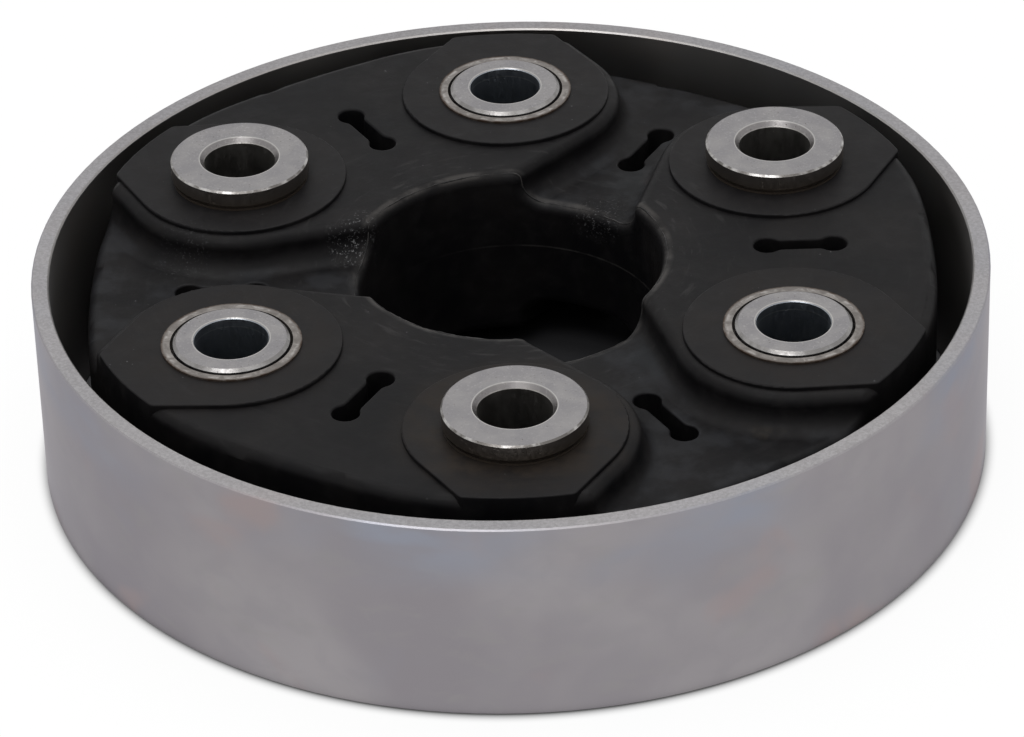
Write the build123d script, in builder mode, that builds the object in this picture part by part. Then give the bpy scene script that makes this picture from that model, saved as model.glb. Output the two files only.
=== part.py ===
from build123d import *
import math
import os

# Disc coupling for a propeller shaft, in millimetres.
# +Z is the axis of the coupling. z = 0 is the mid-plane of the rubber disc and of the six bushes.
# A "tall" bush shows its flange on top and its plain end below; a "small" bush is the other way up.

# --- bolt circle -------------------------------------------------------------------------------
pcd = 105.0
bolt_r = pcd / 2
step_deg = 60
half_deg = step_deg / 2
mid_r = bolt_r * math.cos(math.radians(half_deg))
span = bolt_r * math.sin(math.radians(half_deg))
tall_angles = (270, 30, 150)
small_angles = (90, 210, 330)
bush_angles = tall_angles + small_angles
high_angles = (0, 120, 240)
low_angles = (60, 180, 300)

# --- layers from the mid-plane outwards ---------------------------------------------------------
double_half = 6.7
pack_gap = 0.4
single_h = 6.75
collar_disc_t = 1.3
pad_cover = 1.4
pad_step = 0.7
pocket_depth = 5.75
collar_proud = 0.35
plain_proud = 0.6
boss_h = 0.8
flange_t = 2.6
single_bottom = double_half + pack_gap
single_top = single_bottom + single_h
pad_half = single_top + collar_disc_t + pad_cover
high_half = pad_half - pad_step
low_half = high_half - pocket_depth
collar_top = pad_half + collar_proud
plain_face = collar_top + plain_proud
flange_face = collar_top + boss_h + flange_t

# --- flanged bushes ----------------------------------------------------------------------------
bore_d = 12.1
sleeve_wall = 3.45
flange_over = 0.25
sleeve_od = bore_d + 2 * sleeve_wall
face_edge = 0.3
plain_edge = 0.5
bore_edge = 0.2
bore_lead_r = 0.7
bore_lead_z = 0.9

# --- end collars pressed on the bushes ---------------------------------------------------------
collar_wall = 1.95
relief_gap = 0.5
relief_h = 3.0
boss_seat = 0.6
collar_disc_w = 5.55
collar_hub_od = sleeve_od + 2 * collar_wall
flange_od = collar_hub_od + 2 * flange_over
relief_d = sleeve_od + 2 * relief_gap
boss_od = relief_d + 2 * boss_seat
collar_disc_od = collar_hub_od + 2 * collar_disc_w

# --- cord packs wound round the collars --------------------------------------------------------
cord_w = 5.35
cord_ri = collar_hub_od / 2
cord_ro = cord_ri + cord_w

# --- moulded rubber disc -----------------------------------------------------------------------
rim_past_bolt = 20.2
scallop = 2.3
body_blend = 20.0
hole_wall = 3.37
pad_wall = 1.0
pad_flat_angle = 32.5
pad_corner = 1.2
ledge_flat = 0.1
tip_past_bush = 2.5
tip_inset = 0.6
slot_shift = 2.73
slot_centres = 11.0
slot_end_d = 4.5
slot_waist = 2.7
slot_blend = 2.0
slot_lip = 0.4
edge_round = 1.9
lip_round = 2.0
foot_round = min(3.4, pocket_depth - edge_round - slot_lip)
pad_round = 0.25
lug_width = 8.0
lug_half = 5.5
lug_root = 6.0
clear = 1.0
body_r_bush = bolt_r + rim_past_bolt
body_r_mid = body_r_bush - scallop
hole_r = mid_r - cord_ro - hole_wall
slot_r = mid_r + slot_shift
pad_r = collar_disc_od / 2 + pad_wall
shoulder_r = pad_r + edge_round + ledge_flat
flat_run = 0.7 * rim_past_bolt

# --- outer steel ring --------------------------------------------------------------------------
ring_gap = 3.9
ring_wall = 2.9
ring_h = 35.3
ring_lift = 0.2
ring_edge = 0.25
ring_id = 2 * (body_r_bush + ring_gap)
ring_od = ring_id + 2 * ring_wall
ring_bottom = ring_lift - flange_face


def polar(radius, degrees):
    return (radius * math.cos(math.radians(degrees)), radius * math.sin(math.radians(degrees)))


def middle_r(edge):
    return math.hypot((edge @ 0.5).X, (edge @ 0.5).Y)


def is_long_upright(edge):
    upright = edge.geom_type == GeomType.LINE and edge.tangent_at(0).Z ** 2 > 0.5
    return upright and edge.length > (low_half + pocket_depth) / 2


def at_slot(edge):
    turn = (math.degrees(math.atan2((edge @ 0.5).Y, (edge @ 0.5).X)) + half_deg) % step_deg - half_deg
    reach = slot_centres / 2 + slot_end_d
    return abs(turn) < 5 and abs(middle_r(edge) - slot_r) < reach


# --- outer ring: a plain steel band ------------------------------------------------------------
with BuildPart() as outer_ring:
    with BuildSketch(Plane.XY.offset(ring_bottom)):
        Circle(ring_od / 2)
        Circle(ring_id / 2, mode=Mode.SUBTRACT)
    extrude(amount=ring_h)
    chamfer(outer_ring.edges().filter_by(GeomType.CIRCLE), length=ring_edge)

# --- bushes: turned sleeves with one flange ----------------------------------------------------
bushes = {}
for number, angle in enumerate(sorted(bush_angles), start=1):
    up = 1 if angle in tall_angles else -1
    x, y = polar(bolt_r, angle)
    with BuildPart() as bush:
        with BuildSketch(Plane(origin=(x, y, 0), x_dir=(1, 0, 0), z_dir=(0, -1, 0))):
            with BuildLine():
                Polyline(
                    (bore_d / 2, -up * plain_face),
                    (sleeve_od / 2, -up * plain_face),
                    (sleeve_od / 2, up * collar_top),
                    (boss_od / 2, up * collar_top),
                    (boss_od / 2, up * (flange_face - flange_t)),
                    (flange_od / 2, up * (flange_face - flange_t)),
                    (flange_od / 2, up * flange_face),
                    (bore_d / 2, up * flange_face),
                    close=True,
                )
            make_face()
        revolve(axis=Axis((x, y, 0), (0, 0, 1)))
        ends = bush.edges().filter_by(GeomType.CIRCLE)
        faces_at = ends.filter_by_position(Axis.Z, up * flange_face - 0.01, up * flange_face + 0.01)
        chamfer(faces_at.sort_by(SortBy.RADIUS)[-1], length=face_edge)
        ends = bush.edges().filter_by(GeomType.CIRCLE)
        faces_at = ends.filter_by_position(Axis.Z, up * flange_face - 0.01, up * flange_face + 0.01)
        face = bush.faces().sort_by(Axis.Z)[-1 if up > 0 else 0]
        chamfer(faces_at.sort_by(SortBy.RADIUS)[0], length=bore_lead_r, length2=bore_lead_z, reference=face)
        ends = bush.edges().filter_by(GeomType.CIRCLE)
        plain = ends.filter_by_position(Axis.Z, -up * plain_face - 0.01, -up * plain_face + 0.01)
        chamfer(plain.sort_by(SortBy.RADIUS)[-1], length=plain_edge)
        ends = bush.edges().filter_by(GeomType.CIRCLE)
        plain = ends.filter_by_position(Axis.Z, -up * plain_face - 0.01, -up * plain_face + 0.01)
        chamfer(plain.sort_by(SortBy.RADIUS)[0], length=bore_edge)
    bushes[f"bush_{number}"] = bush

# --- end collars: hub and disc in one pressing, two on each bush --------------------------------
collars = {}
for number, angle in enumerate(sorted(bush_angles), start=1):
    x, y = polar(bolt_r, angle)
    for side, sign in (("top", 1), ("bottom", -1)):
        with BuildPart() as collar:
            with BuildSketch(Plane(origin=(x, y, 0), x_dir=(1, 0, 0), z_dir=(0, -1, 0))):
                with BuildLine():
                    Polyline(
                        (sleeve_od / 2, 0),
                        (collar_hub_od / 2, 0),
                        (collar_hub_od / 2, sign * single_top),
                        (collar_disc_od / 2, sign * single_top),
                        (collar_disc_od / 2, sign * (single_top + collar_disc_t)),
                        (collar_hub_od / 2, sign * (single_top + collar_disc_t)),
                        (collar_hub_od / 2, sign * collar_top),
                        (relief_d / 2, sign * collar_top),
                        (relief_d / 2, sign * (collar_top - relief_h)),
                        (sleeve_od / 2, sign * (collar_top - relief_h)),
                        close=True,
                    )
                make_face()
            revolve(axis=Axis((x, y, 0), (0, 0, 1)))
        collars[f"collar_{number}_{side}"] = collar

# --- cord packs: endless windings round two neighbouring bushes --------------------------------
cords = {}
levels = []
for count, angle in enumerate(high_angles, start=1):
    levels.append((f"cord_single_{count}_top", angle, single_bottom, single_top))
    levels.append((f"cord_single_{count}_bottom", angle, -single_top, -single_bottom))
for count, angle in enumerate(low_angles, start=1):
    levels.append((f"cord_double_{count}", angle, -double_half, double_half))
for name, angle, bottom, top in levels:
    x, y = polar(mid_r, angle)
    plane = Plane(origin=(x, y, bottom), x_dir=(*polar(1, angle + 90), 0), z_dir=(0, 0, 1))
    with BuildPart() as cord:
        with BuildSketch(plane):
            SlotCenterToCenter(2 * span, 2 * cord_ro)
            SlotCenterToCenter(2 * span, 2 * cord_ri, mode=Mode.SUBTRACT)
        extrude(amount=top - bottom)
    cords[name] = cord

# --- rubber disc -------------------------------------------------------------------------------
# outer edge: six arcs bulging at the bushes, joined tangentially by six flatter arcs
drop = body_r_bush - body_r_mid
half_step = math.radians(half_deg)
far = (2 * body_blend * drop - drop**2) / (2 * body_blend * (1 - math.cos(half_step)) - 2 * drop)
join_dir = math.atan2(body_blend * math.sin(half_step), body_blend * math.cos(half_step) + far)
join_x = (body_r_mid + far) * math.cos(join_dir) - far
join_y = (body_r_mid + far) * math.sin(join_dir)
join_r = math.hypot(join_x, join_y)
join_deg = math.degrees(math.atan2(join_y, join_x))
with BuildSketch() as outer_outline:
    with BuildLine():
        for step in range(0, 360, step_deg):
            ThreePointArc(polar(join_r, step - join_deg), polar(body_r_mid, step), polar(join_r, step + join_deg))
            ThreePointArc(
                polar(join_r, step + join_deg), polar(body_r_bush, step + half_deg), polar(join_r, step + step_deg - join_deg)
            )
    make_face()

# pad round a bush on the +X axis: a circle with two flats that close in towards the rim
flat = math.radians(pad_flat_angle)
pad_touch = (bolt_r + pad_r * math.sin(flat), pad_r * math.cos(flat))
pad_end = (pad_touch[0] + flat_run * math.cos(flat), pad_touch[1] - flat_run * math.sin(flat))
with BuildSketch() as pad_shape:
    with BuildLine():
        Line((pad_end[0], -pad_end[1]), pad_end)
        Line(pad_end, pad_touch)
        ThreePointArc(pad_touch, (bolt_r - pad_r, 0), (pad_touch[0], -pad_touch[1]))
        Line((pad_touch[0], -pad_touch[1]), (pad_end[0], -pad_end[1]))
    make_face()

# high saddle between the bushes at -30 and +30 degrees. Its flank starts at a tip on the centre hole,
# runs straight, follows a shoulder circle round the bush and leaves along a flat to the rim.
axis_pt = Vector(*polar(bolt_r, half_deg))
tip_pt = Vector(*polar(hole_r - tip_inset, half_deg + tip_past_bush))
reach = axis_pt - tip_pt
turn = math.degrees(math.asin(shoulder_r / reach.length))
flank_len = math.sqrt(reach.length**2 - shoulder_r**2)
flank_pt = tip_pt + reach.normalized().rotate(Axis.Z, turn) * flank_len
leave_pt = axis_pt + Vector(*polar(shoulder_r, half_deg + 90 - pad_flat_angle))
end_pt = leave_pt + Vector(*polar(flat_run, half_deg - pad_flat_angle))
mid_pt = axis_pt + ((flank_pt - axis_pt) + (leave_pt - axis_pt)).normalized() * shoulder_r
far_pt = Vector(1.3 * body_r_bush, 0)
with BuildSketch() as saddle_shape:
    with BuildLine():
        for s in (1, -1):
            Line((tip_pt.X, s * tip_pt.Y), (flank_pt.X, s * flank_pt.Y))
            ThreePointArc((flank_pt.X, s * flank_pt.Y), (mid_pt.X, s * mid_pt.Y), (leave_pt.X, s * leave_pt.Y))
            Line((leave_pt.X, s * leave_pt.Y), (end_pt.X, s * end_pt.Y))
            Line((end_pt.X, s * end_pt.Y), (far_pt.X, 0))
        Line((tip_pt.X, -tip_pt.Y), (tip_pt.X, tip_pt.Y))
    make_face()

# the six pads, standing a little above the high saddles
with BuildPart() as pads:
    with BuildSketch():
        for angle in bush_angles:
            add(pad_shape.sketch.rotate(Axis.Z, angle))
        add(outer_outline.sketch, mode=Mode.INTERSECT)
    extrude(amount=pad_half)
    corners = pads.edges().filter_by(Axis.Z).filter_by(lambda e: middle_r(e) > body_r_mid)
    fillet(corners, radius=pad_corner)
    top_edges = pads.edges().filter_by_position(Axis.Z, pad_half - 0.01, pad_half + 0.01)
    fillet(top_edges, radius=pad_round)

# upper half of the disc: low pockets between high saddles, every moulded edge rounded
with BuildPart() as upper_half:
    with BuildSketch():
        add(outer_outline.sketch)
    extrude(amount=low_half)
    with BuildSketch():
        for angle in high_angles:
            add(saddle_shape.sketch.rotate(Axis.Z, angle))
        add(outer_outline.sketch, mode=Mode.INTERSECT)
    extrude(amount=high_half)
    with BuildSketch():
        Circle(hole_r)
    extrude(amount=high_half, mode=Mode.SUBTRACT)
    at_floor = upper_half.edges().filter_by_position(Axis.Z, low_half - 0.01, low_half + 0.01)
    fillet(at_floor.filter_by(lambda e: hole_r + clear < middle_r(e) < body_r_mid - clear), radius=foot_round)
    exposed = upper_half.edges().filter_by(lambda e: e.bounding_box().max.Z > low_half - 0.01)
    exposed = exposed.filter_by(lambda e: not is_long_upright(e))
    fillet(exposed.filter_by(lambda e: middle_r(e) < hole_r + 0.1), radius=lip_round)
    exposed = upper_half.edges().filter_by(lambda e: e.bounding_box().max.Z > low_half - 0.01)
    exposed = exposed.filter_by(lambda e: not is_long_upright(e))
    tops = exposed.filter_by(lambda e: (e @ 0.5).Z > high_half - 0.01 and middle_r(e) > hole_r + lip_round + 0.1)
    sides = exposed.filter_by(lambda e: middle_r(e) > body_r_mid - 0.05 and (e @ 0.5).Z < high_half - 0.01)
    fillet(tops + sides, radius=edge_round)
    add(pads.part)
    # six lugs run out to the steel ring
    with BuildSketch():
        for angle in bush_angles:
            with BuildLine(Plane.XY.rotated((0, 0, angle))):
                Polyline(
                    (body_r_bush - lug_root, -lug_width / 2),
                    (ring_id / 2 + clear, -lug_width / 2),
                    (ring_id / 2 + clear, lug_width / 2),
                    (body_r_bush - lug_root, lug_width / 2),
                    close=True,
                )
            make_face()
        Circle(ring_id / 2, mode=Mode.INTERSECT)
    extrude(amount=lug_half)
    # dog-bone relief slots right through, one in each interval, with eased lips
    with BuildSketch() as slots:
        for angle in high_angles + low_angles:
            with Locations(polar(slot_r - slot_centres / 2, angle), polar(slot_r + slot_centres / 2, angle)):
                Circle(slot_end_d / 2)
            with Locations(polar(slot_r, angle)):
                Rectangle(slot_centres, slot_waist, rotation=angle)
        fillet(slots.vertices(), radius=slot_blend)
    extrude(amount=high_half + clear, mode=Mode.SUBTRACT)
    lips = upper_half.edges().filter_by(lambda e: at_slot(e) and (e @ 0.5).Z > low_half - 0.01)
    fillet(lips.filter_by(lambda e: e.bounding_box().size.Z < 0.01), radius=slot_lip)
    # seats of the collars and room for the cord packs, layer by layer from the mid-plane outwards
    layers = (
        (0, double_half, low_angles, collar_hub_od),
        (double_half, single_bottom, (), collar_hub_od),
        (single_bottom, single_top, high_angles, collar_hub_od),
        (single_top, single_top + collar_disc_t, (), collar_disc_od),
        (single_top + collar_disc_t, pad_half + clear, (), collar_hub_od),
    )
    for start, stop, cord_angles, seat_od in layers:
        with BuildSketch(Plane.XY.offset(start)):
            for angle in cord_angles:
                with Locations(Location((*polar(mid_r, angle), 0), (0, 0, angle + 90))):
                    SlotCenterToCenter(2 * span, 2 * cord_ro)
                    SlotCenterToCenter(2 * span, 2 * cord_ri, mode=Mode.SUBTRACT)
            for angle in bush_angles:
                with Locations(polar(bolt_r, angle)):
                    Circle(seat_od / 2)
        extrude(amount=stop - start, mode=Mode.SUBTRACT)

# the whole disc: both halves alike
with BuildPart() as rubber_body:
    add(upper_half.part)
    mirror(about=Plane.XY)

# --- files, one for each piece -----------------------------------------------------------------
os.makedirs("parts", exist_ok=True)
pieces = {"outer_ring": outer_ring, "rubber_body": rubber_body, **bushes, **collars, **cords}
for name, piece in pieces.items():
    piece.part.label = name
    export_step(piece.part, f"parts/{name}.step")
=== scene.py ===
import math

import bpy
from mathutils import Matrix, Vector
from mathutils import noise as field
from mathutils.bvhtree import BVHTree


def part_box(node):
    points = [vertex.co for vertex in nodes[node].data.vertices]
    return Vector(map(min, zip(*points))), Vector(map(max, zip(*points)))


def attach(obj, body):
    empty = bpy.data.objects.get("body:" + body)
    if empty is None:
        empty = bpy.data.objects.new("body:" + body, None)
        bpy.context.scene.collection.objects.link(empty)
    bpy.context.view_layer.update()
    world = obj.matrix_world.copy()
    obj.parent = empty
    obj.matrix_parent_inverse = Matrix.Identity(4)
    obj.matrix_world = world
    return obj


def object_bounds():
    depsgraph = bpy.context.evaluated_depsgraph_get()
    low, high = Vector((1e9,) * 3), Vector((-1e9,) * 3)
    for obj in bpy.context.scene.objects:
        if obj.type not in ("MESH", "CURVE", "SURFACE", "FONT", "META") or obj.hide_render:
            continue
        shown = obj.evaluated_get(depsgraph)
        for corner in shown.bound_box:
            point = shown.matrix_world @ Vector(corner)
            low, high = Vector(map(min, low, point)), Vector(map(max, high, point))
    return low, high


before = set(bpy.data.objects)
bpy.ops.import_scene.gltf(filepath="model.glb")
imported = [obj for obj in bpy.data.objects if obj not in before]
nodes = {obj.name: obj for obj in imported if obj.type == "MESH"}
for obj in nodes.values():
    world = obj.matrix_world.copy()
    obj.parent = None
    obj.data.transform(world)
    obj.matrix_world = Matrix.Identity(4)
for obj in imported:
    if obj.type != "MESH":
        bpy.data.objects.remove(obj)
cad_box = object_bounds()
MM = 0.001

# ---------------------------------------------------------------- sizes of the part that the looks go by
RING_R = 79.5 * MM
RING_INSIDE_R = 76.6 * MM
HOLE_R = 25.3 * MM
PAD_Z = 16.55 * MM
SADDLE_Z = 15.85 * MM
POCKET_Z = 10.1 * MM
BORE_R = 6.05 * MM
SLEEVE_R = 9.5 * MM
COLLAR_R = 11.45 * MM
RELIEF_R = 10.0 * MM
FLANGE_Z = 20.3 * MM
PLAIN_Z = 17.5 * MM
FLOOR_Z = cad_box[0][2]

# ---------------------------------------------------------------- camera
ELEVATION = math.radians(32.9)
DISTANCE = 868.0 * MM
AIM_Z = -2.45 * MM
ROLL = math.radians(-1.754)
SENSOR = 36.0
LENS = 181.70
SHIFT_X = -0.0009
SHIFT_Y = -0.0228
FAR_CLIP = 20.0


def place_camera():
    data = bpy.data.cameras.new("camera")
    camera = bpy.data.objects.new("camera", data)
    bpy.context.scene.collection.objects.link(camera)
    forward = Vector((0, math.cos(ELEVATION), -math.sin(ELEVATION)))
    right = Vector((1, 0, 0))
    up = right.cross(forward)
    turn = Matrix((right, up, -forward)).transposed() @ Matrix.Rotation(ROLL, 3, "Z")
    camera.matrix_world = Matrix.Translation(-forward * DISTANCE + Vector((0, 0, AIM_Z))) @ turn.to_4x4()
    data.sensor_width = SENSOR
    data.lens = LENS
    data.shift_x = SHIFT_X
    data.shift_y = SHIFT_Y
    data.clip_end = FAR_CLIP
    bpy.context.scene.camera = camera


place_camera()
bpy.context.scene.view_settings.view_transform = "Standard"


# ---------------------------------------------------------------- node helpers
def new_material(name):
    mat = bpy.data.materials.new(name)
    mat.use_nodes = True
    tree = mat.node_tree
    tree.nodes.clear()
    out = tree.nodes.new("ShaderNodeOutputMaterial")
    bsdf = tree.nodes.new("ShaderNodeBsdfPrincipled")
    tree.links.new(bsdf.outputs[0], out.inputs[0])
    return mat, tree, bsdf


def put(tree, socket, value):
    """Links a socket, or sets a plain value on an input."""
    if isinstance(value, bpy.types.NodeSocket):
        tree.links.new(value, socket)
    elif value is not None:
        socket.default_value = value


def coords(tree):
    return tree.nodes.new("ShaderNodeTexCoord").outputs["Object"]


def mapped(tree, vector, scale=(1, 1, 1), location=(0, 0, 0)):
    """The coordinates stretched, or moved so that one noise doesn't follow another."""
    n = tree.nodes.new("ShaderNodeMapping")
    put(tree, n.inputs["Vector"], vector)
    n.inputs["Scale"].default_value = scale
    n.inputs["Location"].default_value = location
    return n.outputs[0]


def noise(tree, vector, size_mm, detail=4.0, rough=0.55, warp=0.0):
    """Fractal noise whose features are about size_mm across."""
    n = tree.nodes.new("ShaderNodeTexNoise")
    put(tree, n.inputs["Vector"], vector)
    n.inputs["Scale"].default_value = 1.0 / (size_mm * MM)
    n.inputs["Detail"].default_value = detail
    n.inputs["Roughness"].default_value = rough
    n.inputs["Distortion"].default_value = warp
    return n.outputs["Fac"]


def cells(tree, vector, size_mm):
    """Cells about size_mm across: the distance to the middle of each, and each one's random colour."""
    n = tree.nodes.new("ShaderNodeTexVoronoi")
    put(tree, n.inputs["Vector"], vector)
    n.inputs["Scale"].default_value = 1.0 / (size_mm * MM)
    return n.outputs["Distance"], n.outputs["Color"]


def math_node(tree, op, a, b=None):
    n = tree.nodes.new("ShaderNodeMath")
    n.operation = op
    put(tree, n.inputs[0], a)
    put(tree, n.inputs[1], b)
    return n.outputs[0]


def plus(tree, a, b):
    return math_node(tree, "ADD", a, b)


def times(tree, first, *others):
    for other in others:
        first = math_node(tree, "MULTIPLY", first, other)
    return first


def apart(tree, a, b):
    """The distance between two values."""
    return math_node(tree, "ABSOLUTE", math_node(tree, "SUBTRACT", a, b))


def ramp(tree, value, low, high, to_low=0.0, to_high=1.0):
    """Smooth step of a value between two limits."""
    n = tree.nodes.new("ShaderNodeMapRange")
    n.interpolation_type = "SMOOTHSTEP"
    put(tree, n.inputs["Value"], value)
    for key, number in (("From Min", low), ("From Max", high), ("To Min", to_low), ("To Max", to_high)):
        n.inputs[key].default_value = number
    return n.outputs["Result"]


def blend(tree, amount, a, b):
    """Colour a, turning into colour b as the amount goes from 0 to 1."""
    n = tree.nodes.new("ShaderNodeMix")
    n.data_type = "RGBA"
    put(tree, n.inputs["Factor"], amount)
    put(tree, n.inputs["A"], (*a, 1) if isinstance(a, tuple) else a)
    put(tree, n.inputs["B"], (*b, 1) if isinstance(b, tuple) else b)
    return n.outputs["Result"]


def bump(tree, height, depth_mm, strength=1.0, under=None):
    n = tree.nodes.new("ShaderNodeBump")
    n.inputs["Strength"].default_value = strength
    n.inputs["Distance"].default_value = depth_mm * MM
    put(tree, n.inputs["Height"], height)
    put(tree, n.inputs["Normal"], under)
    return n.outputs[0]


def split(tree, vector):
    n = tree.nodes.new("ShaderNodeSeparateXYZ")
    put(tree, n.inputs[0], vector)
    return n.outputs


def normal_part(tree, axis):
    """One part of the surface's normal."""
    return split(tree, tree.nodes.new("ShaderNodeNewGeometry").outputs["Normal"])[axis]


def lean_of(tree):
    """1 on level faces, 0 on upright ones."""
    return math_node(tree, "ABSOLUTE", normal_part(tree, "Z"))


def distance_to_axis(tree, vector, x, y):
    """Distance in metres from an upright axis through x, y (in millimetres)."""
    part = split(tree, vector)
    dx = math_node(tree, "SUBTRACT", part["X"], x * MM)
    dy = math_node(tree, "SUBTRACT", part["Y"], y * MM)
    return math_node(tree, "SQRT", plus(tree, times(tree, dx, dx), times(tree, dy, dy)))


# ---------------------------------------------------------------- steel ring
def zinc_ring():
    """Dull zinc plate: grey with broad bluish, pinkish and brownish clouds, fine grain and a few nicks."""
    mat, t, b = new_material("zinc_ring")
    at = coords(t)
    height = split(t, at)["Z"]
    land = ramp(t, lean_of(t), 0.5, 0.95)
    cloud = noise(t, at, 34, 3, 0.45, 0.4)
    cool = noise(t, mapped(t, at, location=(0.31, 0.12, 0.72)), 30, 2, 0.4, 0.3)
    warm = noise(t, mapped(t, at, location=(0.05, 0.43, 0.21)), 19, 3, 0.5, 0.3)
    drift = noise(t, mapped(t, at, (1, 1, 1.3)), 7, 4, 0.5, 0.4)
    smudge = noise(t, mapped(t, at, (1, 1, 2), (0.6, 0.2, 0.9)), 9, 5, 0.6, 0.6)
    colour = blend(t, ramp(t, cloud, 0.32, 0.68), (0.258, 0.241, 0.258), (0.330, 0.312, 0.322))
    colour = blend(t, ramp(t, drift, 0.42, 0.68, 0, 0.3), colour, (0.262, 0.249, 0.266))
    colour = blend(t, ramp(t, smudge, 0.52, 0.7, 0, 0.25), colour, (0.296, 0.288, 0.278))
    # a pale blue band under the open edge, broken up along its length
    streak = noise(t, mapped(t, at, (1, 1, 2.6), (0.4, 0.8, 0.3)), 16, 3, 0.5)
    band = times(t, ramp(t, height, 1 * MM, 13 * MM), ramp(t, cool, 0.38, 0.62))
    band = times(t, band, ramp(t, streak, 0.4, 0.6, 0.45, 1.0))
    colour = blend(t, times(t, band, 0.85), colour, (0.272, 0.288, 0.340))
    colour = blend(t, ramp(t, cool, 0.60, 0.74, 0, 0.4), colour, (0.268, 0.272, 0.310))
    colour = blend(t, ramp(t, warm, 0.57, 0.72, 0, 0.55), colour, (0.338, 0.268, 0.262))
    # the inside is dull and brownish
    from_axis = distance_to_axis(t, at, 0, 0)
    inner = ramp(t, from_axis, RING_INSIDE_R + 0.2 * MM, RING_INSIDE_R + 0.6 * MM, 0.7, 0)
    colour = blend(t, inner, colour, (0.262, 0.250, 0.228))
    # the turned land on top is brighter and coarser
    speck = noise(t, at, 0.5, 4, 0.7)
    bright = blend(t, ramp(t, speck, 0.35, 0.68), (0.228, 0.221, 0.221), (0.315, 0.308, 0.310))
    colour = blend(t, times(t, land, 0.8), colour, bright)
    put(t, b.inputs["Base Color"], colour)
    put(t, b.inputs["Metallic"], 1.0)
    put(t, b.inputs["Roughness"], ramp(t, cloud, 0.3, 0.7, 0.36, 0.46))
    put(t, b.inputs["Specular Tint"], (0.72, 0.71, 0.74, 1.0))
    normal = bump(t, noise(t, at, 0.45, 3), 0.010, 0.6)
    normal = bump(t, times(t, speck, land), 0.02, 0.6, normal)
    middle, _ = cells(t, at, 9)
    nick = ramp(t, plus(t, middle, times(t, cloud, 0.2)), 0.08, 0.13)
    put(t, b.inputs["Normal"], bump(t, nick, 0.04, 0.5, normal))
    return mat


# ---------------------------------------------------------------- rubber disc
# pale scuffs, mostly on the hole's edge: x, y, reach (mm) and strength
SCUFFS = (
    (-27.3, 9.4, 3.8, 0.85),
    (15.5, 21.5, 6.0, 0.35),
    (-24.5, 12.5, 3.0, 0.5),
    (-55.0, 8.0, 7.0, 0.14),
)
SCUFF_TONE = (0.20, 0.20, 0.205)
# smudges on the low pockets: x, y, reach (mm), colour and strength
SMUDGES = (
    (27.8, 29.8, 6.0, (0.036, 0.024, 0.022), 0.7),
    (22.0, 30.0, 9.0, (0.0185, 0.0200, 0.0215), 0.7),
    (22.2, -24.9, 8.0, (0.0155, 0.0175, 0.0200), 0.7),
    (39.0, -44.0, 6.0, (0.034, 0.027, 0.020), 0.7),
    (-50.0, 8.0, 11.0, (0.021, 0.021, 0.021), 0.6),
)
# dust specks: cell (mm), the speck's reach as a share of it, and the share of cells left empty
SPECKS = ((0.9, 0.14, 0.80), (2.3, 0.075, 0.70))
DUST_TONE = (0.20, 0.20, 0.205)
# brown dust on a pad, by its bush's y (mm): most on the one nearest -Y
FRONT_Y = -40
BROWN_FRONT = 0.60
BROWN_NEAR = 0.18
BROWN_FAR = 0.05
BROWN_FROM = 12.5 * MM
BROWN_TO = 22.5 * MM
SEAM_Z = 1.6 * MM


def brown_share(y):
    if y < FRONT_Y:
        return BROWN_FRONT
    return BROWN_NEAR if y < 0 else BROWN_FAR


def brown_dust(t, at, bushes, mottle, upward, colour):
    """Brown dust round each bush, in blotches."""
    blotch = noise(t, mapped(t, at, location=(0.9, 0.3, 0.2)), 6, 4, 0.6)
    blotch = ramp(t, blotch, 0.36, 0.62, 0.35, 1.15)
    uneven = ramp(t, mottle, 0.3, 0.6, 0.55, 1.0)
    for x, y in bushes:
        around = ramp(t, distance_to_axis(t, at, x, y), BROWN_FROM, BROWN_TO, brown_share(y), 0)
        colour = blend(t, times(t, around, uneven, upward, blotch), colour, (0.0205, 0.0155, 0.0115))
    return colour


def rubbing_marks(t, part, radius):
    """Faint rubbing marks that run round the centre hole, strongest near it."""
    turn = times(t, math_node(t, "ARCTAN2", part["Y"], part["X"]), 0.006)
    polar = t.nodes.new("ShaderNodeCombineXYZ")
    for slot, value in enumerate((radius, turn, times(t, part["Z"], 0.5))):
        put(t, polar.inputs[slot], value)
    rub = ramp(t, noise(t, polar.outputs[0], 1.1, 4, 0.6, 0.3), 0.56, 0.72)
    return times(t, rub, ramp(t, radius, 27 * MM, 46 * MM, 0.6, 0.12))


def scuffs(t, at, height, colour):
    grit = ramp(t, noise(t, at, 0.5, 4, 0.7, 0.4), 0.57, 0.67)
    above = ramp(t, height, 4 * MM, 8 * MM)
    for x, y, reach, strength in SCUFFS:
        near = ramp(t, distance_to_axis(t, at, x, y), reach * 0.3 * MM, reach * MM, strength, 0)
        colour = blend(t, times(t, near, above, grit), colour, SCUFF_TONE)
    return colour


def pocket_bloom(t, at, height, mottle, rub, upward, colour):
    """Grey-blue bloom and a few smudges on the low pockets."""
    low_place = ramp(t, height, POCKET_Z + 0.3 * MM, POCKET_Z + 1.1 * MM, 1, 0)
    haze = noise(t, mapped(t, at, location=(0.2, 0.5, 0.1)), 8, 4, 0.55)
    haze = times(t, low_place, upward, ramp(t, haze, 0.45, 0.66, 0, 0.6))
    colour = blend(t, haze, colour, (0.0165, 0.0170, 0.0190))
    worn = ramp(t, rub, 0, 1, 0.6, 1.0)
    for x, y, reach, tone, strength in SMUDGES:
        wander = ramp(t, mottle, 0.3, 0.7, -0.3 * reach * MM, 0.3 * reach * MM)
        away = plus(t, distance_to_axis(t, at, x, y), wander)
        smudge = times(t, ramp(t, away, 0, reach * MM, strength, 0), worn)
        colour = blend(t, times(t, smudge, upward, low_place), colour, tone)
    return colour


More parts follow.
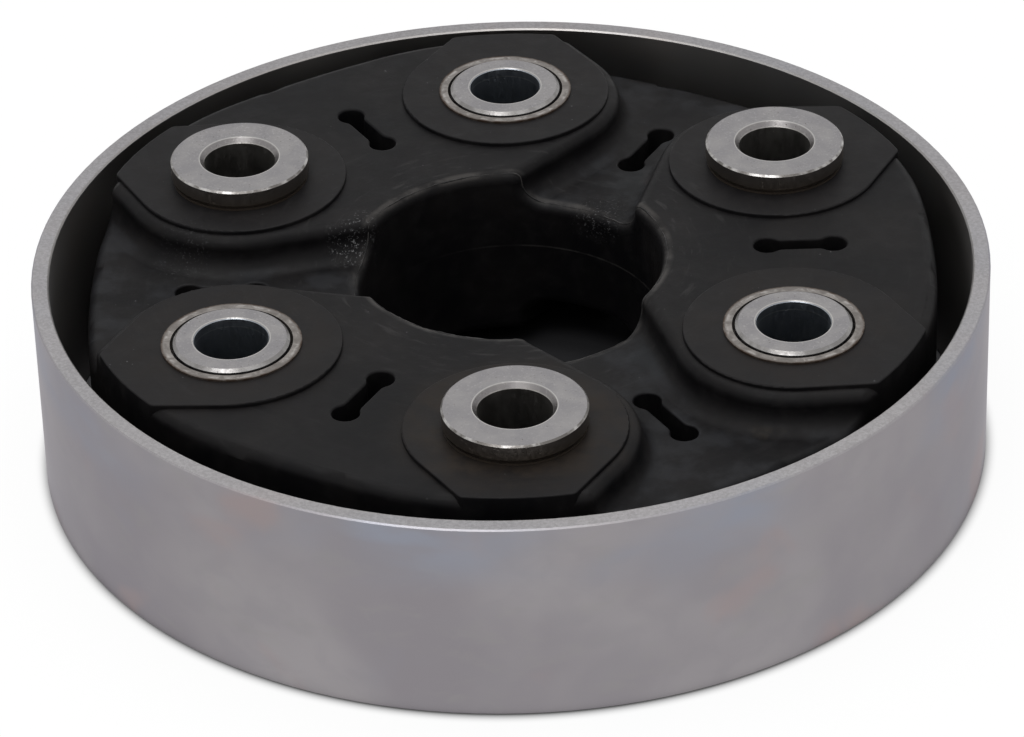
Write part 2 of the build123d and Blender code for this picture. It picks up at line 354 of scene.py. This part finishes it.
def hole_edges(t, at, part, radius, upward, colour):
    """The hole's lip is painted paler in stretches, partly as wear and partly as a painted highlight on its
    rounded edge, and the mould's parting line runs round its wall.
    """
    # wear and painted highlight: the hole's rounded lip is painted paler in stretches
    lip_wear_and_highlight = ramp(t, radius, HOLE_R + 0.1 * MM, HOLE_R + 0.6 * MM)
    lip_wear_and_highlight = times(t, lip_wear_and_highlight, ramp(t, radius, HOLE_R + 1.2 * MM, HOLE_R + 2.1 * MM, 1, 0))
    lip_wear_and_highlight = times(t, lip_wear_and_highlight, ramp(t, noise(t, at, 7, 4, 0.6), 0.42, 0.62, 0.1, 0.8))
    colour = blend(t, times(t, lip_wear_and_highlight, upward), colour, (0.045, 0.042, 0.040))
    seam = ramp(t, apart(t, part["Z"], SEAM_Z), 0.08 * MM, 0.22 * MM, 1, 0)
    seam = times(t, seam, ramp(t, radius, HOLE_R + 0.9 * MM, HOLE_R + 1.5 * MM, 1, 0))
    seam = times(t, seam, ramp(t, part["X"], -14 * MM, 12 * MM, 0.1, 0.55))
    seam = times(t, seam, ramp(t, noise(t, at, 3.5, 3, 0.6), 0.4, 0.6, 0.35, 1.0))
    return blend(t, seam, colour, (0.040, 0.038, 0.036))


def dust_specks(t, at, mottle, upward):
    """Pale specks of two sizes that lie in drifts: how much of each place they cover."""
    drift = ramp(t, noise(t, mapped(t, at, location=(0.7, 0.1, 0.4)), 15, 3, 0.5), 0.50, 0.70)
    dust = 0
    for size, reach, empty in SPECKS:
        middle, chance = cells(t, mapped(t, at, location=(size, 0, 0)), size)
        ragged = plus(t, middle, times(t, mottle, 0.08))
        dot = ramp(t, ragged, reach * 0.5 + 0.04, reach + 0.04, 1, 0)
        keep = ramp(t, split(t, chance)["X"], empty, empty + 0.2)
        dust = math_node(t, "MAXIMUM", dust, times(t, dot, keep))
    return times(t, dust, upward, plus(t, drift, 0.06))


def moulded_rubber(bushes):
    """Black moulded rubber: satin, with brown dust round the bolt bushes, pale specks in drifts,
    grey bloom in the low pockets, and a rubbed lip with a painted highlight round the centre hole."""
    mat, t, b = new_material("moulded_rubber")
    at = coords(t)
    part = split(t, at)
    height = part["Z"]
    upward = ramp(t, normal_part(t, "Z"), 0.3, 0.9)
    radius = distance_to_axis(t, at, 0, 0)
    bloom = noise(t, at, 14, 5, 0.6, 0.6)
    mottle = noise(t, at, 3, 5, 0.6)
    colour = blend(t, ramp(t, bloom, 0.35, 0.7), (0.0030, 0.0029, 0.0034), (0.0064, 0.0058, 0.0060))
    colour = blend(t, ramp(t, mottle, 0.45, 0.8, 0, 0.5), colour, (0.0105, 0.0098, 0.0099))
    # the raised pads are a little paler
    on_pad = times(t, ramp(t, height, SADDLE_Z + 0.15 * MM, PAD_Z - 0.15 * MM), upward)
    colour = blend(t, times(t, on_pad, 0.35), colour, (0.0130, 0.0122, 0.0128))
    rub = rubbing_marks(t, part, radius)
    colour = blend(t, times(t, rub, upward), colour, (0.024, 0.023, 0.023))
    colour = scuffs(t, at, height, colour)
    colour = brown_dust(t, at, bushes, mottle, upward, colour)
    colour = pocket_bloom(t, at, height, mottle, rub, upward, colour)
    colour = hole_edges(t, at, part, radius, upward, colour)
    dust = dust_specks(t, at, mottle, upward)
    colour = blend(t, times(t, dust, 0.5), colour, DUST_TONE)
    put(t, b.inputs["Base Color"], colour)
    put(t, b.inputs["Roughness"], plus(t, ramp(t, mottle, 0.3, 0.7, 0.42, 0.56), times(t, dust, 0.3)))
    put(t, b.inputs["Specular IOR Level"], 0.075)
    normal = bump(t, noise(t, at, 5, 3), 0.16, 0.5)
    put(t, b.inputs["Normal"], bump(t, noise(t, at, 0.35, 3, 0.6), 0.02, 0.6, normal))
    return mat


# ---------------------------------------------------------------- bushes, collars and cord packs
# by whether a bush's flange is up: the dull tone and the painted glint tone of its face's edge, the pale and
# the stained tone of its bore, the radius of its painted mouth highlight, and where the film and painted
# shade on the flange's side thin out and to what share
EDGE_TONE_AND_GLINT = {
    True: ((0.110, 0.102, 0.094), (0.46, 0.45, 0.44)),
    False: ((0.185, 0.178, 0.172), (0.30, 0.292, 0.286)),
}
BORE_TONES = {
    True: ((0.31, 0.30, 0.285), (0.20, 0.192, 0.183)),
    False: ((0.275, 0.300, 0.330), (0.225, 0.245, 0.275)),
}
MOUTH_R = {True: 6.8 * MM, False: 6.3 * MM}
FILM_AND_SHADE_Z = {True: (FLANGE_Z - 3.1 * MM, FLANGE_Z - 0.3 * MM), False: (0.0, 1.0 * MM)}
FILM_AND_SHADE_LEFT = {True: 0.66, False: 0.35}
BORE_HIGHLIGHT_Z = PLAIN_Z - 1.6 * MM
LATHE_SCALE = 4200.0


def lathe_rings(t, from_axis):
    """Fine turning marks round a bush's axis."""
    rings = t.nodes.new("ShaderNodeTexNoise")
    rings.noise_dimensions = "1D"
    put(t, rings.inputs["W"], from_axis)
    rings.inputs["Scale"].default_value = LATHE_SCALE
    return rings.outputs["Fac"]


def face_edges(t, at, lean, from_axis, tall, colour):
    """The edge round the face is dull, with bright burrs that are partly painted glints. The lead-in is
    brownish, with a painted highlight round its mouth.
    """
    rim = times(t, ramp(t, lean, 0.15, 0.4), ramp(t, lean, 0.86, 0.985, 1, 0))
    rim = times(t, rim, ramp(t, from_axis, SLEEVE_R - 0.7 * MM, SLEEVE_R - 0.4 * MM))
    # painted glints: bright flecks along the edge chamfer stand in for highlights as well as burrs
    burr_glint = ramp(t, noise(t, mapped(t, at, (1, 1, 0.2)), 2.4, 3, 0.55), 0.40, 0.66)
    colour = blend(t, times(t, rim, 0.8), colour, blend(t, burr_glint, *EDGE_TONE_AND_GLINT[tall]))
    lead = ramp(t, from_axis, BORE_R + 1.35 * MM, BORE_R + 1.65 * MM, 1, 0)
    lead = times(t, ramp(t, lean, 0.2, 0.97, 1, 0), lead)
    colour = blend(t, times(t, lead, 0.55), colour, (0.115, 0.098, 0.085))
    # painted highlight: a bright thin line round the bore's mouth
    mouth_highlight = ramp(t, apart(t, from_axis, MOUTH_R[tall]), 0.06 * MM, 0.16 * MM, 0.6, 0)
    return blend(t, mouth_highlight, colour, (0.46, 0.45, 0.43))


def bore_wall(t, at, height, from_axis, tall, colour):
    """Inside the bore: grey, stained dark in places, with a painted highlight line a little below a plain
    end.
    """
    inside = ramp(t, from_axis, BORE_R + 0.03 * MM, BORE_R + 0.13 * MM, 1, 0)
    stain = ramp(t, noise(t, mapped(t, at, (1, 1, 0.4)), 4, 4, 0.6), 0.42, 0.62)
    colour = blend(t, inside, colour, blend(t, stain, *BORE_TONES[tall]))
    if tall:
        return colour
    # painted highlight: a bright band inside the bore a little below a plain end
    line = times(t, ramp(t, apart(t, height, BORE_HIGHLIGHT_Z), 0.05 * MM, 0.16 * MM, 1, 0), inside)
    return blend(t, times(t, line, 0.7), colour, (0.45, 0.46, 0.48))


def turned_steel(name, x, y, tall):
    """Bush steel: a pale, finely pitted face with bright specks, a brown film and painted shade on the
    flange's side, a brown film in its lead-in, and a stained bore."""
    mat, t, b = new_material(name)
    at = coords(t)
    height = split(t, at)["Z"]
    lean = lean_of(t)
    from_axis = distance_to_axis(t, at, x, y)
    patches = noise(t, at, 4, 4, 0.55, 0.4)
    colour = blend(t, ramp(t, patches, 0.35, 0.7), (0.205, 0.198, 0.204), (0.245, 0.236, 0.236))
    fine = noise(t, at, 0.55, 4, 0.7)
    colour = blend(t, ramp(t, fine, 0.52, 0.74, 0, 0.55), colour, (0.40, 0.39, 0.39))
    middle, chance = cells(t, at, 0.55)
    pit = times(t, ramp(t, middle, 0.10, 0.28, 1, 0), ramp(t, split(t, chance)["X"], 0.55, 0.75))
    grimy = ramp(t, noise(t, at, 3, 3, 0.6), 0.42, 0.64, 0.35, 1.0)
    colour = blend(t, times(t, pit, grimy), colour, (0.082, 0.072, 0.064))
    # a dull brown film on the flange's side, with painted shade that deepens towards its foot
    outer = ramp(t, from_axis, SLEEVE_R + 0.3 * MM, SLEEVE_R + 0.7 * MM)
    outer = times(t, ramp(t, lean, 0.35, 0.9, 1, 0), outer)
    film_and_side_shade = times(t, outer, ramp(t, height, *FILM_AND_SHADE_Z[tall], 1.0, FILM_AND_SHADE_LEFT[tall]))
    colour = blend(t, film_and_side_shade, colour, (0.150, 0.128, 0.108))
    colour = face_edges(t, at, lean, from_axis, tall, colour)
    colour = bore_wall(t, at, height, from_axis, tall, colour)
    put(t, b.inputs["Base Color"], colour)
    put(t, b.inputs["Metallic"], 1.0)
    put(t, b.inputs["Roughness"], ramp(t, fine, 0.3, 0.7, 0.42, 0.28))
    normal = bump(t, lathe_rings(t, from_axis), 0.004, 0.4)
    normal = bump(t, math_node(t, "SUBTRACT", 1.0, pit), 0.03, 0.7, normal)
    put(t, b.inputs["Normal"], bump(t, fine, 0.014, 0.8, normal))
    return mat


def collar_steel(name, x, y, shaded_under_flange):
    """Collar steel: dull grey with a bright worn edge and brown rust outside it, and painted shade that makes
    it darker under a flange.
    """
    mat, t, b = new_material(name)
    at = coords(t)
    from_axis = distance_to_axis(t, at, x, y)
    patches = noise(t, at, 1.8, 5, 0.65, 0.6)
    colour = blend(t, ramp(t, patches, 0.35, 0.7), (0.125, 0.113, 0.104), (0.235, 0.218, 0.205))
    worn = ramp(t, from_axis, RELIEF_R + 0.4 * MM, RELIEF_R + 0.8 * MM)
    worn = times(t, worn, ramp(t, patches, 0.5, 0.62, 0, 0.6))
    colour = blend(t, worn, colour, (0.36, 0.345, 0.33))
    wander = plus(t, from_axis, ramp(t, patches, 0.3, 0.7, -0.15 * MM, 0.15 * MM))
    rust = times(t, ramp(t, wander, COLLAR_R - 0.55 * MM, COLLAR_R), ramp(t, patches, 0.3, 0.6, 0.55, 1.0))
    colour = blend(t, rust, colour, (0.040, 0.026, 0.018))
    # painted shade: a collar under a flange is painted darker
    if shaded_under_flange:
        colour = blend(t, 0.75, colour, (0.040, 0.031, 0.024))
    put(t, b.inputs["Base Color"], colour)
    put(t, b.inputs["Metallic"], 0.85)
    put(t, b.inputs["Roughness"], plus(t, 0.36, times(t, rust, 0.3)))
    put(t, b.inputs["Normal"], bump(t, noise(t, at, 0.35, 4), 0.03, 0.8))
    return mat


def cord_textile():
    """Undyed textile cord, inside the rubber."""
    mat, t, b = new_material("cord_textile")
    weave = noise(t, mapped(t, coords(t), (1, 1, 6)), 0.8, 3)
    put(t, b.inputs["Base Color"], blend(t, weave, (0.24, 0.21, 0.16), (0.40, 0.36, 0.28)))
    put(t, b.inputs["Roughness"], ramp(t, weave, 0.3, 0.7, 0.75, 0.9))
    put(t, b.inputs["Normal"], bump(t, weave, 0.1))
    return mat


def flash_rubber():
    """Moulding flash: thin rubber, worn grey in places."""
    mat, t, b = new_material("flash_rubber")
    at = coords(t)
    worn = noise(t, at, 2.5, 4, 0.6)
    colour = blend(t, ramp(t, worn, 0.4, 0.65), (0.008, 0.0078, 0.008), (0.032, 0.030, 0.029))
    put(t, b.inputs["Base Color"], colour)
    put(t, b.inputs["Roughness"], ramp(t, worn, 0.3, 0.7, 0.5, 0.38))
    put(t, b.inputs["Specular IOR Level"], 0.2)
    put(t, b.inputs["Normal"], bump(t, noise(t, at, 0.4, 3), 0.03))
    return mat


# ---------------------------------------------------------------- dressing the solids
def dress(node, mat):
    slots = nodes[node].material_slots
    for slot in slots:
        slot.material = mat
    if not slots:
        nodes[node].data.materials.append(mat)


def axis_of(node):
    """Where a bush stands: x and y in millimetres."""
    low, high = (Vector(corner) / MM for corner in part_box(node))
    return (low.x + high.x) / 2, (low.y + high.y) / 2


bush_axes = [axis_of(f"bush_{number}") for number in range(1, 7)]
dress("outer_ring", zinc_ring())
dress("rubber_body", moulded_rubber(bush_axes))
textile = cord_textile()
for node in nodes:
    if node.startswith("cord_"):
        dress(node, textile)
for number, (x, y) in enumerate(bush_axes, 1):
    tall = number % 2 == 1
    dress(f"bush_{number}", turned_steel(f"bush_steel_{number}", x, y, tall))
    for end in ("top", "bottom"):
        shaded_under_flange = tall == (end == "top")
        dress(f"collar_{number}_{end}", collar_steel(f"collar_steel_{number}_{end}", x, y, shaded_under_flange))

# ---------------------------------------------------------------- moulding flash
FLASH_R = 26.15 * MM
FLASH_SIZE = 0.2 * MM
FLASH_WANDER = 0.12 * MM
FLASH_STEPS = 540
ABOVE = 10 * MM


def surface_of(node):
    """A search tree of a node's surface, in metres in the shared frame."""
    body = nodes[node]
    corners = [body.matrix_world @ v.co for v in body.data.vertices]
    return BVHTree.FromPolygons(corners, [tuple(p.vertices) for p in body.data.polygons])


def hole_flash():
    """A thin bead of flash along the centre hole's upper edge, thicker and thinner, broken away in places."""
    surface = surface_of("rubber_body")
    curve = bpy.data.curves.new("hole_flash", "CURVE")
    curve.dimensions = "3D"
    curve.bevel_depth = FLASH_SIZE
    curve.bevel_resolution = 2
    line = curve.splines.new("POLY")
    line.points.add(FLASH_STEPS - 1)
    line.use_cyclic_u = True
    for step, point in enumerate(line.points):
        angle = math.tau * step / FLASH_STEPS
        out = Vector((math.cos(angle), math.sin(angle), 0.0))
        start = out * (FLASH_R + FLASH_WANDER * field.noise(out * 9)) + Vector((0, 0, cad_box[1][2] + ABOVE))
        place = surface.ray_cast(start, Vector((0, 0, -1)))[0]
        point.co = (*place, 1.0)
        front = max(0.0, -out.y)
        uneven = 0.8 * field.noise(out * 5) + 0.4 * field.noise(out * 33)
        point.radius = max(0.05, 0.35 + 0.3 * front + uneven)
    bead = bpy.data.objects.new("hole_flash", curve)
    bpy.context.scene.collection.objects.link(bead)
    curve.materials.append(flash_rubber())
    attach(bead, "root")


hole_flash()

# ---------------------------------------------------------------- floor, world and lights
FLOOR_HALF = 3.0
GLOW_SHARE = 0.93
DIM_SKY = 0.6


def seen_directly(t):
    """1 for camera, glossy and transmission rays, 0 for the rest."""
    path = t.nodes.new("ShaderNodeLightPath")
    seen = math_node(t, "MAXIMUM", path.outputs["Is Camera Ray"], path.outputs["Is Glossy Ray"])
    return math_node(t, "MAXIMUM", seen, path.outputs["Is Transmission Ray"])


def pale_floor():
    """White to the camera outside the ring, with the object's shadow, and painted dark under the part as
    painted shade.
    """
    mat = bpy.data.materials.new("pale_floor")
    mat.use_nodes = True
    t = mat.node_tree
    t.nodes.clear()
    out = t.nodes.new("ShaderNodeOutputMaterial")
    paint = t.nodes.new("ShaderNodeBsdfDiffuse")
    glow = t.nodes.new("ShaderNodeEmission")
    put(t, glow.inputs["Color"], (1, 1, 1, 1))
    put(t, glow.inputs["Strength"], 1.0)
    from_axis = distance_to_axis(t, t.nodes.new("ShaderNodeNewGeometry").outputs["Position"], 0, 0)
    outside = ramp(t, from_axis, RING_R - 1 * MM, RING_R + 2.2 * MM)
    # painted shade: the floor under the part is painted dark, darkest inside 70 mm
    painted_floor_shade = blend(t, ramp(t, from_axis, 70 * MM, 74.5 * MM), (0.03, 0.03, 0.032), (0.16, 0.16, 0.165))
    put(t, paint.inputs["Color"], blend(t, outside, painted_floor_shade, (0.82, 0.82, 0.82)))
    mix = t.nodes.new("ShaderNodeMixShader")
    put(t, mix.inputs[0], times(t, seen_directly(t), outside, GLOW_SHARE))
    t.links.new(paint.outputs[0], mix.inputs[1])
    t.links.new(glow.outputs[0], mix.inputs[2])
    t.links.new(mix.outputs[0], out.inputs[0])
    return mat


def lay_floor():
    mesh = bpy.data.meshes.new("floor")
    far = FLOOR_HALF
    corners = [(x, y, FLOOR_Z) for x, y in ((-far, -far), (far, -far), (far, far), (-far, far))]
    mesh.from_pydata(corners, [], [(0, 1, 2, 3)])
    floor = bpy.data.objects.new("floor", mesh)
    bpy.context.scene.collection.objects.link(floor)
    mesh.materials.append(pale_floor())


def light_world():
    """A white studio, dimmer as a light than it looks."""
    world = bpy.data.worlds.new("studio")
    bpy.context.scene.world = world
    world.use_nodes = True
    t = world.node_tree
    t.nodes.clear()
    out = t.nodes.new("ShaderNodeOutputWorld")
    back = t.nodes.new("ShaderNodeBackground")
    put(t, back.inputs["Color"], (1, 1, 1, 1))
    put(t, back.inputs["Strength"], plus(t, DIM_SKY, times(t, seen_directly(t), 1 - DIM_SKY)))
    t.links.new(back.outputs[0], out.inputs[0])


def softbox(name, place, size, power):
    data = bpy.data.lights.new(name, "AREA")
    data.shape = "RECTANGLE"
    data.size, data.size_y = size
    data.energy = power
    lamp = bpy.data.objects.new(name, data)
    bpy.context.scene.collection.objects.link(lamp)
    lamp.location = place
    lamp.rotation_euler = (-Vector(place)).to_track_quat("-Z", "Y").to_euler()


lay_floor()
light_world()
softbox("top_box", (0.0, 0.15, 1.1), (1.0, 1.0), 8.0)
softbox("front_box", (-0.25, -0.62, 1.05), (0.7, 0.35), 4.0)
